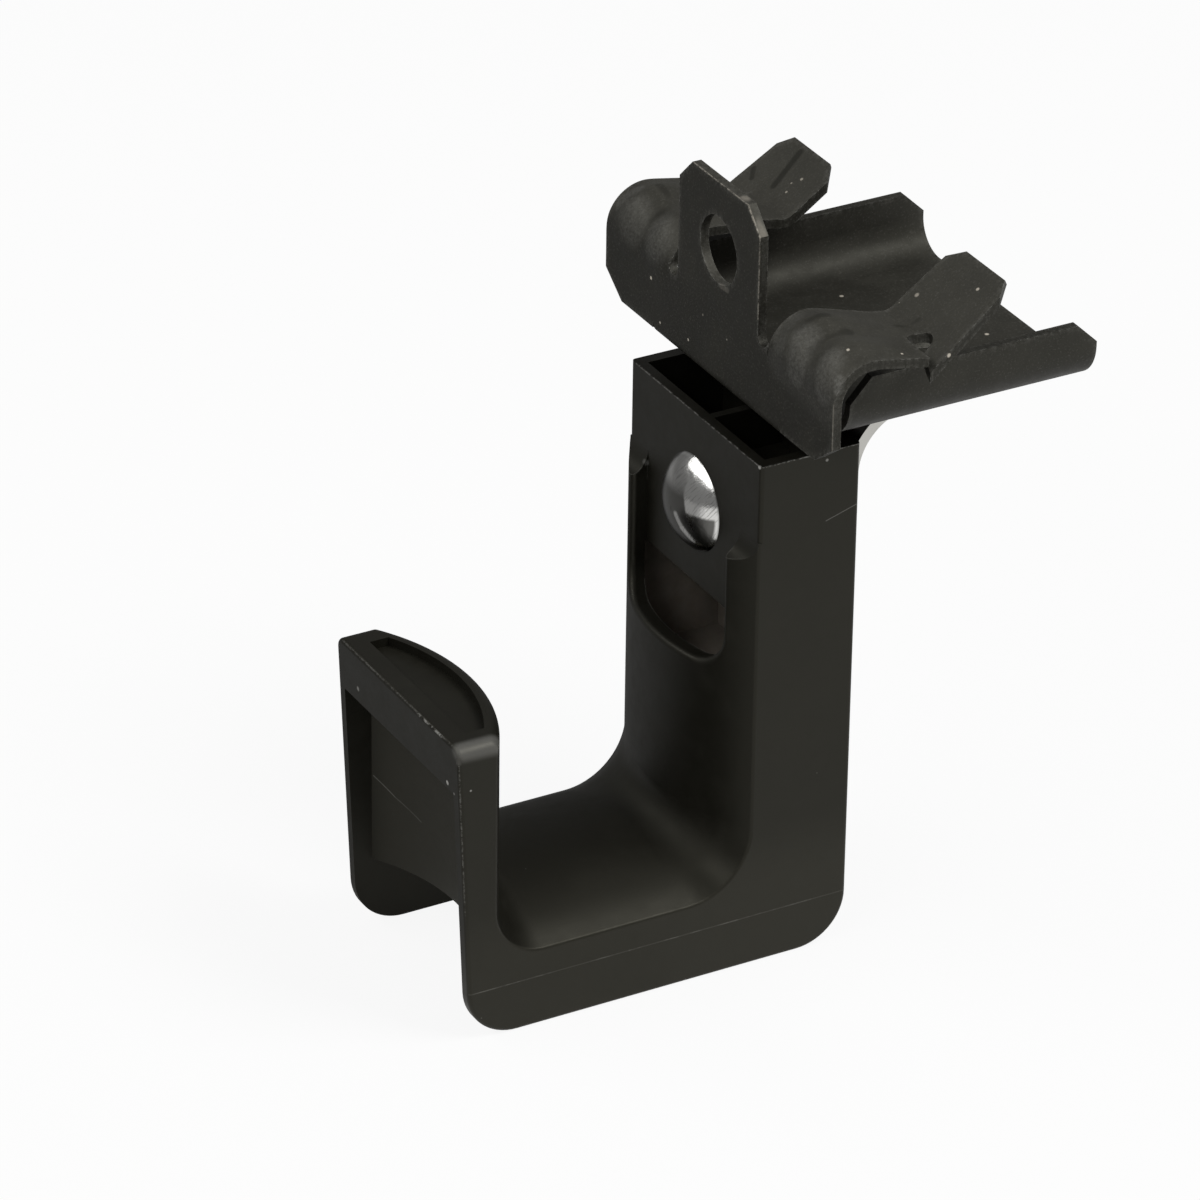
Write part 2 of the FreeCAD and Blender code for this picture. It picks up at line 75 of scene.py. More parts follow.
# One material under construction
class Finish:
    def __init__(self, name):
        self.material = bpy.data.materials.new(name)
        self.material.use_nodes = True
        self.tree = self.material.node_tree
        self.tree.nodes.clear()

    # Any node: its type, its settings (set first), its sockets' values or links, and the output wanted
    def add(self, kind, settings, sockets, output=0):
        node = self.tree.nodes.new(kind)
        for key, value in settings.items():
            setattr(node, key, value)
        for key, value in sockets.items():
            if isinstance(value, Value):
                self.tree.links.new(value.socket, node.inputs[key])
            else:
                node.inputs[key].default_value = value
        return Value(self, node.outputs[output]) if len(node.outputs) else None

    def maths(self, operation, first, second):
        return self.add("ShaderNodeMath", {"operation": operation}, {0: first, 1: second})

    def vector(self, operation, first, second, output="Value"):
        return self.add("ShaderNodeVectorMath", {"operation": operation}, {0: first, 1: second}, output)

    def scaled(self, vector, factor):
        return self.add("ShaderNodeVectorMath", {"operation": "SCALE"}, {0: vector, "Scale": factor})

    # Object coordinates in millimetres, in the part's own frame
    def place(self):
        return self.scaled(self.add("ShaderNodeTexCoord", {}, {}, "Object"), 1 / mm)

    # A vector's parts by name; side is the distance from the part's middle plane
    def axes(self, vector):
        at = {name: self.add("ShaderNodeSeparateXYZ", {}, {0: vector}, name.upper()) for name in "xyz"}
        at["side"] = abs(at["y"])
        return at

    def turned(self, vector, angles, stretch=(1, 1, 1)):
        turn = [math.radians(angle) for angle in angles]
        sockets = {"Vector": vector, "Rotation": turn, "Scale": stretch}
        return self.add("ShaderNodeMapping", {"vector_type": "TEXTURE"}, sockets)

    # Noise with features about size millimetres across
    def noise(self, vector, size, detail, roughness):
        sockets = {"Vector": vector, "Scale": 1 / size, "Detail": detail, "Roughness": roughness}
        return self.add("ShaderNodeTexNoise", {}, sockets)

    # All the noises of one finish by name: size, detail, roughness
    def noises(self, place, settings):
        return {name: self.noise(place, *values) for name, values in settings.items()}

    # Noise turned and drawn out along a direction
    def drawnNoise(self, place, angles, stretch, detail=2, roughness=0.5):
        return self.noise(self.turned(place, angles, stretch), 1, detail, roughness)

    # Smooth step from 0 at low to 1 at high
    def step(self, value, low, high):
        sockets = {"Value": value, "From Min": low, "From Max": high}
        return self.add("ShaderNodeMapRange", {"interpolation_type": "SMOOTHSTEP"}, sockets)

    # Smooth step from 1 at low to 0 at high
    def fall(self, value, low, high):
        return 1 - self.step(value, low, high)

    # 1 within reach of zero, fading out over soft
    def near(self, value, reach, soft):
        return self.fall(abs(value), reach, reach + soft)

    # A mask broken up by noise, between its least and its most
    def broken(self, mask, noise, fade, least=0, most=1):
        return mask * (least + self.step(noise, *fade) * (most - least))

    # Two values mixed, with a share of the second
    def blend(self, first, second, share):
        return first * (1 - share) + second * share

    # 1 where the face points in a direction, by the cosine of the angle between the two
    def facing(self, direction, low, high):
        true = self.add("ShaderNodeNewGeometry", {}, {}, "Normal")
        return self.step(self.vector("DOT_PRODUCT", true, Vector(direction).normalized()), low, high)

    # 1 in one zone of the part. An axis has the pair of places where the zone fades in and the pair
    # where it fades out, or None; facing has a direction and the range of its cosine.
    def zone(self, at, limits):
        total = 1
        for name, limit in limits.items():
            if name == "facing":
                total = self.facing(*limit) * total
                continue
            rise, drop = limit
            if rise:
                total = self.step(at[name], *rise) * total
            if drop:
                total = self.fall(at[name], *drop) * total
        return total

    def tint(self, factor, first, second):
        sockets = {0: factor, 6: first, 7: second}
        return self.add("ShaderNodeMix", {"data_type": "RGBA"}, sockets, 2)

    # Uneven darkness: large and small noise mixed and stepped, with fine noise on top
    def haze(self, large, small, fine, settings):
        blend = self.blend(large, small, settings["small"])
        haze = self.step(blend, *settings["fade"]) * settings["share"]
        return self.maths("MAXIMUM", haze + (fine - noiseMean) * settings["fine"], 0)

    # Fine scratches: each kind has its turn, stretch and fade
    def scratches(self, place, kinds):
        total = 0
        for angles, stretch, fade in kinds:
            total = self.step(self.drawnNoise(place, angles, stretch), *fade) + total
        return total

    # Lone dots: one in some of the cells of a loose grid
    def specks(self, vector, spacing, radius, share):
        settings = {"feature": "F1"}
        sockets = {"Vector": vector, "Scale": 1 / spacing}
        distance = self.add("ShaderNodeTexVoronoi", settings, sockets, "Distance")
        pick = self.add("ShaderNodeTexVoronoi", settings, sockets, "Color")
        chosen = self.maths("LESS_THAN", self.axes(pick)["x"], share)
        return self.fall(distance * spacing, radius * solid["speck"], radius) * chosen

    # 1 inside a small dot round a point
    def spot(self, place, centre, radius):
        return self.fall(self.vector("DISTANCE", place, centre), radius * solid["spot"], radius)

    # 1 along a straight worn line from start to end
    def stroke(self, place, start, end, radius):
        run = Vector(end) - Vector(start)
        offset = self.vector("SUBTRACT", place, start, "Vector")
        along = self.maths("MAXIMUM", self.vector("DOT_PRODUCT", offset, run.normalized()), 0)
        nearest = self.scaled(run.normalized(), self.maths("MINIMUM", along, run.length))
        return self.fall(self.vector("DISTANCE", offset, nearest), radius * solid["stroke"], radius)

    # All the dots and lines of one kind of mark, each with its own strength
    def marks(self, place, spots, strokes):
        total = 0
        for centre, radius, strength in spots:
            total = self.maths("MAXIMUM", self.spot(place, centre, radius) * strength, total)
        for start, end, radius, strength in strokes:
            total = self.maths("MAXIMUM", self.stroke(place, start, end, radius) * strength, total)
        return total

    # Where the surface turns sharply, such as a worn edge; radius in millimetres
    def edges(self, radius, low, high):
        rounded = self.add("ShaderNodeBevel", {"samples": edgeSamples}, {"Radius": radius * mm})
        true = self.add("ShaderNodeNewGeometry", {}, {}, "Normal")
        return self.step(1 - self.vector("DOT_PRODUCT", rounded, true), low, high)

    # The masks that have a weight, each times its weight, added up
    def mixed(self, masks, weights):
        total = 0
        for name, weight in weights.items():
            total = masks[name] * weight + total
        return total

    # The material: layers laid over the colour in turn, and masks that roughen and raise the surface
    def finished(self, looks, masks):
        colour = looks["colour"]
        for name, share, over in looks["layers"]:
            colour = self.tint(masks[name] * share, colour, over)
        depth, strength = looks["bump"]
        height = self.mixed(masks, looks["raised"])
        sockets = {"Height": height, "Distance": depth * mm, "Strength": strength}
        varying = {
            "Base Color": colour,
            "Roughness": self.mixed(masks, looks["rougher"]) + looks["roughness"],
            "Normal": self.add("ShaderNodeBump", {}, sockets),
        }
        shader = self.add("ShaderNodeBsdfPrincipled", {}, varying | looks["fixed"])
        self.add("ShaderNodeOutputMaterial", {}, {"Surface": shader})
        return self.material


# A grey with its blue drawn down by warmth
def grey(level, warmth=0.0):
    return (level * (1 + warmth * 0.25), level, level * (1 - warmth), 1)


# Black nylon of the hook: satin moulded surface with a fine grain, a parting line, dust and scuffs, and
# painted light: a paler sunken panel, side faces painted lighter towards the foot, a painted lit hollow
# behind the window and painted highlights on the tip's near top edge.
# Places are in the part's millimetres. A layer is a mask, its share and its colour; a noise is its size,
# detail and roughness; hairs are their turn, stretch and fade; dust is its spacing, radius and share.
# A dot is its centre, radius and strength; a line is its start, end, radius and strength.
nylon = {
    "colour": grey(0.0062, 0.30),
    "layers": [
        ("haze", 1.0, grey(0.0098, 0.25)),
        # the panel layer is painted light: the tip's sunken panel is painted paler
        ("panel", 1.0, grey(0.022, 0.20)),
        # the foot layer is painted light: the side faces are painted lighter towards the foot
        ("foot", 0.6, grey(0.019, 0.25)),
        # the hollow layer is painted light inside the window, pale brown
        ("hollow", 1.0, (0.330, 0.290, 0.245, 1)),
        ("hairs", 0.12, grey(0.13, 0.10)),
        ("edge", 0.6, grey(0.13, 0.10)),
        ("parting", 0.55, grey(0.13, 0.10)),
        # marks are chips, specks and scratches, and in part painted highlights
        ("marks", 0.8, grey(0.40, 0.06)),
        ("dust", 0.35, grey(0.40, 0.06)),
    ],
    "roughness": 0.39,  # where every mask below is 0
    "rougher": {"patches": 0.14, "haze": 0.05, "dust": 0.2, "bed": 0.13},
    "raised": {"grain": 0.7, "ripple": 1.2, "hairs": -0.4, "parting": 3},
    "bump": (0.010, 0.55),  # depth and strength
    "fixed": {"Specular IOR Level": 0.27, "Specular Tint": (1.0, 0.97, 0.80, 1)},
    "noises": {
        "cloud": (9, 3, 0.6),
        "patches": (2.3, 4, 0.65),
        "grain": (0.22, 2, 0.6),
        "ripple": (1.6, 2, 0.5),
        "chips": (0.8, 3, 0.7),
        "flakes": (0.34, 3, 0.75),
        "breaks": (3.6, 3, 0.7),
    },
    "haze": {"small": 0.4, "fade": (0.42, 0.68), "share": 0.8, "fine": 0.9},
    "hairs": [((20, 35, 50), (9, 0.12, 0.12), (0.72, 0.80)), ((70, -25, 10), (7, 0.10, 0.10), (0.74, 0.80))],
    "hairPatches": (0.48, 0.62),
    "smallDust": (2.1, 0.08, 0.16),
    "largeDust": (5.2, 0.13, 0.13),
    "largeDustTurn": (40, 10, 25),
    "sideFace": {"side": ((13.38, 13.45), None)},
    "partingHeight": -63.5,
    "partingWidth": (0.03, 0.07),
    "partingBreaks": {"fade": (0.46, 0.62), "least": 0.35},
    "edge": (0.3, 0.04, 0.25),  # radius, and the fade of the turn
    "outerSide": (12.6, 13.2),
    "outerBreaks": {"fade": (0.44, 0.62), "most": 0.5},
    "frontFace": {"x": ((-9.0, -8.0), (-3.5, -3.2))},
    "lips": [(-21.5, 0.6, 0.4, 0.9), (-34.6, 0.8, 0.5, 1.0)],  # height, reach, softness, strength
    "lipSides": (2.0, 6.0),
    "lipMiddleShare": 0.35,
    "lipSideShare": 0.8,
    "hollow": {
        "x": ((-3.2, -2.6), (7.2, 7.6)),
        "side": (None, (12.3, 12.5)),
        "z": ((-45.5, -45.0), (-40.0, -27.0)),
    },
    "hollowLightShares": (0.6, 0.6),  # least share, and what the patches add
    "levelLess": ((0, 0, 1), 0.3, 0.8),
    "levelShare": 0.35,
    "rearLess": (3.0, 6.8),
    "rearShare": 0.42,
    "bed": {
        "facing": ((0, 0, 1), 0.2, 0.6),
        "x": ((-32.5, -30.5), (-5.5, -3.5)),
        "side": (None, (9.5, 12.0)),
        "z": (None, (-45.0, -43.0)),
    },
    "panel": {
        "facing": ((-1, 0, 0), 0.7, 0.9),
        "x": ((-37.0, -36.4), (-31.0, -30.0)),
        "z": (None, (-37.0, -36.0)),
    },
    "foot": {"z": (None, (-60.0, -52.0))},
    "chipShare": 0.4,
    "flakeFade": (0.44, 0.58),
    "brightSpots": [
        ((-37.9, -10.9, -39.0), 0.34, 0.9),
        ((-37.9, -12.3, -39.6), 0.20, 0.5),
        ((-37.9, 9.0, -38.1), 0.35, 0.45),
        ((-36.6, -13.6, -38.9), 0.16, 0.7),
        ((-3.3, -13.2, -10.0), 0.30, 1.0),
        ((4.5, -13.6, -10.9), 0.22, 0.7),
        ((-3.4, 9.9, -20.3), 0.50, 0.25),
    ],
    "chippedLines": [
        ((-38.1, 12.5, -33.9), (-38.1, -12.8, -33.9), 0.27, 0.55),
        ((-38.1, -4.6, -34.0), (-38.1, -9.8, -34.0), 0.27, 0.80),
        ((-38.0, -13.5, -35.4), (-37.2, -13.5, -54.0), 0.20, 0.35),
        ((-3.3, 13.4, -9.9), (-3.3, -13.4, -9.9), 0.15, 0.40),
        ((-3.2, -13.6, -9.9), (8.4, -13.6, -9.9), 0.16, 0.55),
    ],
    "smoothLines": [
        # the first two lines are painted highlights: the tip's near top corner and the round of its near top
        # edge
        ((-37.8, -13.3, -34.6), (-37.8, -13.3, -35.4), 0.45, 0.16),
        ((-37.2, -13.2, -34.2), (-32.6, -13.2, -34.4), 1.6, 0.26),
        ((4.6, -13.6, -18.0), (8.3, -13.6, -16.9), 0.07, 0.28),
        ((-34.6, 12.0, -51.1), (-33.2, 9.65, -52.9), 0.10, 0.22),
        ((-33.2, 9.65, -52.9), (-31.9, 6.3, -54.5), 0.10, 0.13),
    ],
}


def makeNylon():
    f = Finish("blackNylon")
    place = f.place()
    at = f.axes(place)
    m = f.noises(place, nylon["noises"])  # the masks by name
    m["haze"] = f.haze(m["cloud"], m["patches"], m["grain"], nylon["haze"])
    m["hairs"] = f.scratches(place, nylon["hairs"]) * f.step(m["patches"], *nylon["hairPatches"])
    turned = f.turned(place, nylon["largeDustTurn"])
    m["dust"] = f.specks(place, *nylon["smallDust"]) + f.specks(turned, *nylon["largeDust"])

    # The mould's parting line runs along both side faces, and those faces are painted lighter towards the
    # foot as painted light
    sideFace = f.zone(at, nylon["sideFace"])
    line = f.near(at["z"] - nylon["partingHeight"], *nylon["partingWidth"]) * sideFace
    m["parting"] = f.broken(line, m["breaks"], **nylon["partingBreaks"])
    m["foot"] = f.zone(at, nylon["foot"]) * sideFace

    # Wear on the outer corners, and on the lips of the shoulders and the window
    outer = f.broken(f.step(at["side"], *nylon["outerSide"]), m["chips"], **nylon["outerBreaks"])
    lips = 0
    for height, reach, softness, strength in nylon["lips"]:
        lips = f.near(at["z"] - height, reach, softness) * strength + lips
    sides = f.step(at["side"], *nylon["lipSides"]) * nylon["lipSideShare"] + nylon["lipMiddleShare"]
    lips = lips * f.zone(at, nylon["frontFace"]) * sides
    m["edge"] = f.edges(*nylon["edge"]) * (outer + lips)

    # The hollow behind the window is painted pale brown as painted light, less so on level faces and towards
    # the rear as painted shade
    least, added = nylon["hollowLightShares"]
    level = 1 - f.facing(*nylon["levelLess"]) * nylon["levelShare"]
    rear = 1 - f.step(at["x"], *nylon["rearLess"]) * nylon["rearShare"]
    m["hollow"] = f.zone(at, nylon["hollow"]) * (m["patches"] * added + least) * level * rear

    # Cables have dulled the bed of the hook, and the tip's sunken panel is painted paler than the frame
    # round it, as painted light in its recess
    m["bed"] = f.zone(at, nylon["bed"])
    m["panel"] = f.zone(at, nylon["panel"])

    # The chipped edges, the lone dots and thin scratches, and painted highlights on the tip's near top
    # corner and along the round of its near top edge
    flakes = f.blend(m["flakes"], m["chips"], nylon["chipShare"])
    chipped = f.broken(f.marks(place, [], nylon["chippedLines"]), flakes, nylon["flakeFade"])
    smooth = f.marks(place, nylon["brightSpots"], nylon["smoothLines"])
    m["marks"] = f.maths("MAXIMUM", chipped, smooth)
    return f.finished(nylon, m)


# Black oxide on the spring steel of the clamp: dark satin, rubbed lighter on the bends and edges, with
# painted top light on faces turned up, painted highlights on the pressed ribs and painted shade in their
# creases
blackSteel = {
    "colour": grey(0.0090, 0.24),
    "layers": [
        ("haze", 1.0, grey(0.0185, 0.20)),
        # painted top light on the faces turned up
        ("paintedTopLight", 0.30, grey(0.075, 0.15)),
        ("rubbed", 0.42, grey(0.11, 0.10)),
        ("scuffs", 0.35, grey(0.11, 0.10)),
        ("flecks", 0.42, grey(0.11, 0.10)),
        # painted shade in the creases between the pressed ribs, and painted highlights along the ribs
        ("paintedCreaseShade", 1.0, grey(0.006, 0.25)),
        ("paintedRidgeHighlights", 1.3, grey(0.38, 0.06)),
        ("bare", 0.40, grey(0.38, 0.06)),
        ("dust", 0.35, (0.55, 0.50, 0.42, 1)),
        # marks are chips and worn edges, and in part painted highlights
        ("marks", 1.0, (0.55, 0.50, 0.42, 1)),
    ],
    "roughness": 0.44,  # where every mask below is 0
    "rougher": {"patches": 0.22, "haze": 0.06, "dust": 0.2},
    "raised": {"grain": 0.7, "dents": 2.5, "patches": 1.0},
    "bump": (0.020, 0.5),
    "fixed": {"Specular IOR Level": 0.28, "Specular Tint": (1.0, 0.98, 0.84, 1)},
    "noises": {
        "cloud": (7, 3, 0.6),
        "patches": (1.7, 4, 0.68),
        "grain": (0.12, 2, 0.6),
        "mottle": (0.35, 3, 0.75),
        "dents": (3.2, 2, 0.5),
        "chips": (0.8, 3, 0.7),
        "flecks": (0.24, 2, 0.6),
        "breaks": (0.4, 3, 0.7),
    },
    "haze": {"small": 0.45, "fade": (0.40, 0.66), "share": 0.7, "fine": 1.1},
    "streaks": ((0, 0, 0), (0.5, 0.5, 5), 3, 0.6),  # turn, stretch, detail, roughness
    "rubbedEdge": (1.6, 0.02, 0.22),
    "rubbedFade": (0.42, 0.60),
    "mottleShare": 0.5,
    "bareEdge": (0.25, 0.10, 0.40),
    "bareFade": (0.48, 0.62),
    "dust": (2.2, 0.09, 0.10),
    "fleckFade": (0.54, 0.72),
    "scuffs": [((15, 60, 20), (6, 0.12, 0.12), (0.70, 0.78))],
    "paintedRidgeHighlightBreaks": {"fade": (0.30, 0.72), "least": 0.45, "most": 1.35},
    "markBreaks": {"fade": (0.4, 0.6), "least": 0.75},
    "wornFade": (0.36, 0.60),
    "ears": {"facing": ((-0.2, -0.2, 0.95), 0.1, 0.8), "z": ((1.0, 3.0), None)},
    "trough": {"facing": ((-0.1, -0.6, 0.8), 0.1, 0.8), "x": ((1.5, 3.0), None), "z": (None, (-0.5, 0.5))},
    "troughShare": 0.6,
    # painted top light, broken by noise
    "paintedTopLight": {"cloud": 0.9, "mottle": 0.8},
    "paintedTopLightLeast": 0.15,
    "tabCorner": {"z": ((12.6, 13.0), None), "y": (None, (-3.6, -3.0))},
    "chamferLitFacing": ((0, -0.55, 0.84), 0.5, 0.8),
    # some of these spots, on the ears' ribs, are painted highlights
    "brightSpots": [
        ((-1.0, 13.8, -1.0), 0.26, 1.0),
        ((-1.0, 11.75, -5.3), 0.20, 0.8),
        ((-1.0, 5.8, -4.6), 0.20, 0.9),
        ((-1.0, -2.1, -1.0), 0.14, 0.5),
        ((-1.0, 2.9, -0.4), 0.16, 0.4),
        ((2.1, -20.9, 5.65), 0.22, 0.9),
        ((7.6, -22.3, 4.6), 0.20, 0.9),
        ((12.6, -23.2, 3.6), 0.30, 0.9),
        ((18.3, -19.1, 7.9), 0.26, 0.9),
        ((29.1, -4.4, -6.4), 0.30, 0.8),
        ((20.1, 10.2, -6.4), 0.30, 0.9),
        ((14.8, -13.2, 5.4), 0.34, 0.5),
        ((17.7, 15.1, 5.7), 0.24, 0.6),
        ((16.9, 15.8, 5.1), 0.16, 0.5),
        ((16.0, 15.3, 4.5), 0.20, 0.45),
    ],
    # the second line is a painted highlight on the tab's near chamfer
    "smoothLines": [
        ((-1.0, -23.5, -5.8), (-1.0, -23.5, 2.6), 0.13, 0.16),
        ((-0.5, -4.1, 15.9), (-0.5, -8.0, 13.4), 0.65, 0.24),
        ((-1.0, -0.6, 4.5), (-1.0, -2.0, 4.6), 0.45, 0.10),
    ],
    "wornLines": [
        ((-1.0, 5.6, 15.9), (-1.0, -5.6, 15.9), 0.15, 0.28),
        ((-1.0, -5.6, 15.9), (-1.0, -8.2, 13.3), 0.20, 0.40),
        ((-1.0, -8.2, 13.3), (-1.0, -8.2, 4.0), 0.13, 0.26),
    ],
    # painted highlights along the pressed ribs of the ears and the plate
    "paintedRidgeHighlights": [
        ((1.4, -11.1, 4.8), (-0.6, -12.1, 3.0), 1.9, 0.045),
        ((0.6, -14.9, 4.7), (-0.9, -16.0, 1.6), 2.4, 0.075),
        ((0.4, -20.4, 4.8), (-1.0, -21.5, 1.8), 2.2, 0.070),
        ((-0.1, -22.8, 3.6), (-0.4, -23.2, 2.9), 0.9, 0.120),
        ((-1.0, -12.5, 1.5), (-1.0, -22.0, 0.5), 3.2, 0.024),
        ((0.0, 19.3, 3.8), (-0.6, 18.6, 2.8), 3.0, 0.060),
        ((0.1, 14.0, 3.9), (-0.6, 13.3, 3.0), 2.8, 0.065),
        ((1.6, 21.6, 5.2), (0.2, 22.4, 3.6), 1.2, 0.060),
    ],
    # painted shade in the creases between the pressed ribs
    "paintedCreaseShade": [
        ((4.0, -13.3, 5.8), (0.6, -13.7, 5.0), 0.8, 0.55),
        ((4.7, -16.6, 5.1), (0.4, -16.6, 4.0), 0.9, 0.50),
        ((2.2, 16.5, 5.6), (0.2, 16.6, 4.4), 0.8, 0.50),
        ((3.6, 20.4, 5.8), (3.4, 15.4, 6.0), 0.7, 0.45),
        ((19.5, 18.6, 7.0), (15.8, 17.5, 4.3), 0.62, 0.85),
        ((15.9, 22.0, 4.4), (15.1, 21.0, 3.9), 0.45, 0.7),
        ((13.2, -16.2, 4.4), (10.6, -15.4, 3.6), 0.45, 0.4),
    ],
}


def makeBlackSteel():
    f = Finish("blackSpringSteel")
    place = f.place()
    at = f.axes(place)
    m = f.noises(place, blackSteel["noises"])  # the masks by name
    m["haze"] = f.haze(m["cloud"], m["patches"], m["mottle"], blackSteel["haze"])
    m["dust"] = f.specks(place, *blackSteel["dust"])
    m["scuffs"] = f.scratches(place, blackSteel["scuffs"]) * m["patches"]

    # The bends are rubbed in streaks, the cut edges are bare in places
    streaks = f.drawnNoise(place, *blackSteel["streaks"])
    streaks = f.blend(streaks, m["mottle"], blackSteel["mottleShare"])
    m["rubbed"] = f.broken(f.edges(*blackSteel["rubbedEdge"]), streaks, blackSteel["rubbedFade"])
    m["bare"] = f.broken(f.edges(*blackSteel["bareEdge"]), m["chips"], blackSteel["bareFade"])
    m["flecks"] = f.broken(m["patches"], m["flecks"], blackSteel["fleckFade"])
    # Painted shade in the creases between the pressed ribs, and painted highlights along the ribs
    m["paintedCreaseShade"] = f.marks(place, [], blackSteel["paintedCreaseShade"])
    paintedRidgeHighlights = f.marks(place, [], blackSteel["paintedRidgeHighlights"])
    m["paintedRidgeHighlights"] = f.broken(paintedRidgeHighlights, m["mottle"], **blackSteel["paintedRidgeHighlightBreaks"])

    # Painted top light: the ears and flares are painted paler where they face up, and the channel a little
    trough = f.zone(at, blackSteel["trough"]) * blackSteel["troughShare"]
    paintedTopLight = f.maths("MAXIMUM", f.zone(at, blackSteel["ears"]), trough)
    m["paintedTopLight"] = paintedTopLight * (f.mixed(m, blackSteel["paintedTopLight"]) + blackSteel["paintedTopLightLeast"])

    # The bright spots and lines are chips and worn edges, and in part painted highlights on the ears' ribs
    # and on the tab's near chamfer, where only faces turned up and outwards, towards the light, take them
    marks = f.marks(place, blackSteel["brightSpots"], blackSteel["smoothLines"])
    marks = f.broken(marks, m["patches"], **blackSteel["markBreaks"])
    marks = marks * (1 - f.zone(at, blackSteel["tabCorner"]) * (1 - f.facing(*blackSteel["chamferLitFacing"])))
    worn = f.broken(f.marks(place, [], blackSteel["wornLines"]), m["breaks"], blackSteel["wornFade"])
    m["marks"] = f.maths("MAXIMUM", marks, worn)
    return f.finished(blackSteel, m)


# Polished steel of the rivet in the hook, with a dark rim. A painted dark reflection covers the head but for
# its upper near side, thinner at the top, with painted bright reflection lines through it. The cloud's
# limits are in shares of the head's radius: across is positive towards the far side, and above is positive
# upwards.
rivetSteel = {
    "colour": grey(0.62, 0.03),
    "layers": [
        ("streaks", 0.6, grey(0.26, 0.05)),
        # painted dark reflection over most of the head
        ("paintedDarkReflection", 1.0, grey(0.125, 0.06)),
        ("rim", 0.7, grey(0.125, 0.06)),
    ],
    "roughness": 0.13,
    "rougher": {"paintedDarkReflection": 0.14, "fine": 0.06},
    "raised": {"dents": 2, "fine": 0.4},
    "bump": (0.030, 0.5),
    "fixed": {"Metallic": 1.0},
    "noises": {"cloud": (1.6, 3, 0.6), "dents": (1.1, 2, 0.5)},
    "fine": ((25, 0, 0), (1.0, 0.12, 1.8), 3, 0.6),  # turn, stretch, detail, roughness
    "streakFade": (0.52, 0.66),
    "centre": (0.0, -20.3),  # y and z
    "radius": 5.4,
    "cloudNear": (-0.52, -0.45),  # across
    "cloudLean": 0.36,
    "cloudWobble": 0.12,
    "cloudTop": (0.30, 0.60),
    "cloudTopShare": 0.7,
    "footTop": (0.02, 0.10),
    "footWobble": 0.06,
    "footFar": (-0.60, -0.54),
    "cloudReach": (0.93, 0.97),
    "rim": (0.975, 1.0),
    "brightLines": [
        ((-5.9, -1.0, -20.6), (-5.6, -1.8, -22.0), 0.5, 0.8),
        ((-5.6, -1.8, -22.0), (-4.0, -3.2, -24.0), 0.6, 1.0),
        ((-5.4, -2.3, -18.4), (-5.4, -3.0, -20.3), 0.5, 0.9),
    ],
}


def makeRivetSteel():
    f = Finish("polishedSteel")
    place = f.place()
    at = f.axes(place)
    m = f.noises(place, rivetSteel["noises"])  # the masks by name
    m["fine"] = f.drawnNoise(place, *rivetSteel["fine"])
    m["streaks"] = f.step(m["fine"], *rivetSteel["streakFade"])
    middleY, middleZ = rivetSteel["centre"]
    across = (at["y"] - middleY) / rivetSteel["radius"]
    above = (at["z"] - middleZ) / rivetSteel["radius"]
    reach = (across * across + above * above) ** 0.5
    # The painted dark reflection over the head, with painted bright reflection lines through it
    wobble = m["cloud"] - noiseMean
    leaning = across - above * rivetSteel["cloudLean"] + wobble * rivetSteel["cloudWobble"]
    cloud = f.step(leaning, *rivetSteel["cloudNear"])
    cloud = cloud * (1 - f.step(above, *rivetSteel["cloudTop"]) * rivetSteel["cloudTopShare"])
    foot = f.fall(above - wobble * rivetSteel["footWobble"], *rivetSteel["footTop"])
    foot = foot * f.fall(across, *rivetSteel["footFar"])
    paintedDarkReflection = f.maths("MAXIMUM", cloud, foot) * f.fall(reach, *rivetSteel["cloudReach"])
    m["paintedDarkReflection"] = paintedDarkReflection * (1 - f.marks(place, [], rivetSteel["brightLines"]))
    m["rim"] = f.step(reach, *rivetSteel["rim"])
    return f.finished(rivetSteel, m)


# Bright zinc plate of the bracket behind the hook
zincPlate = {
    "colour": grey(0.50, 0.06),
    "layers": [("clouds", 1.0, grey(0.30, 0.10))],
    "roughness": 0.24,
    "rougher": {"cloud": 0.2},
    "raised": {"cloud": 1.5, "fine": 0.5},
    "bump": (0.015, 0.5),
    "fixed": {"Metallic": 1.0},
    "noises": {"cloud": (4.5, 4, 0.62)},
    "cloudFade": (0.4, 0.7),
    "fine": ((0, 0, 0), (3, 0.15, 3)),  # turn and stretch
}


def makeZincPlate():
    f = Finish("zincPlate")
    place = f.place()
    m = f.noises(place, zincPlate["noises"])  # the masks by name
    m["fine"] = f.drawnNoise(place, *zincPlate["fine"])
    m["clouds"] = f.step(m["cloud"], *zincPlate["cloudFade"])
    return f.finished(zincPlate, m)


def dress(node, material):
    mesh = parts[node].data
    mesh.materials.clear()
    mesh.materials.append(material)


steelFinish = makeBlackSteel()
dress("hook_body", makeNylon())
dress("beam_clamp", steelFinish)
dress("clamp_rivet", steelFinish)
dress("hook_rivet", makeRivetSteel())
dress("rear_bracket", makeZincPlate())
print("finishes made")


# Pale floor under the hook's foot. The camera, metal and gloss see it white; it still takes the shadow.
# What gloss sees of it falls off behind the hook, and more so to the right, as on a paper sweep that is
# lit from the front. Places on it are in millimetres, as on the part.
studio = {
    "floorSize": 6.0,
    "floorGap": 0.02,
    "floorColour": grey(0.82),
    "white": grey(1.0),
    "glow": 0.90,
    "glowBehind": grey(0.30),
    "glowRight": grey(0.15),
    "behind": (-10, 35),
    "behindLean": 0.4,
    "right": (-35, 0),
    "world": 0.22,
    "lamps": {
        "key": {"at": (0.43, -0.46, 0.80), "size": (0.45, 0.45), "power": 7.0},
        "side": {"at": (-0.64, 0.08, 0.66), "size": (1.6, 0.24), "power": 5.0},
    },
}


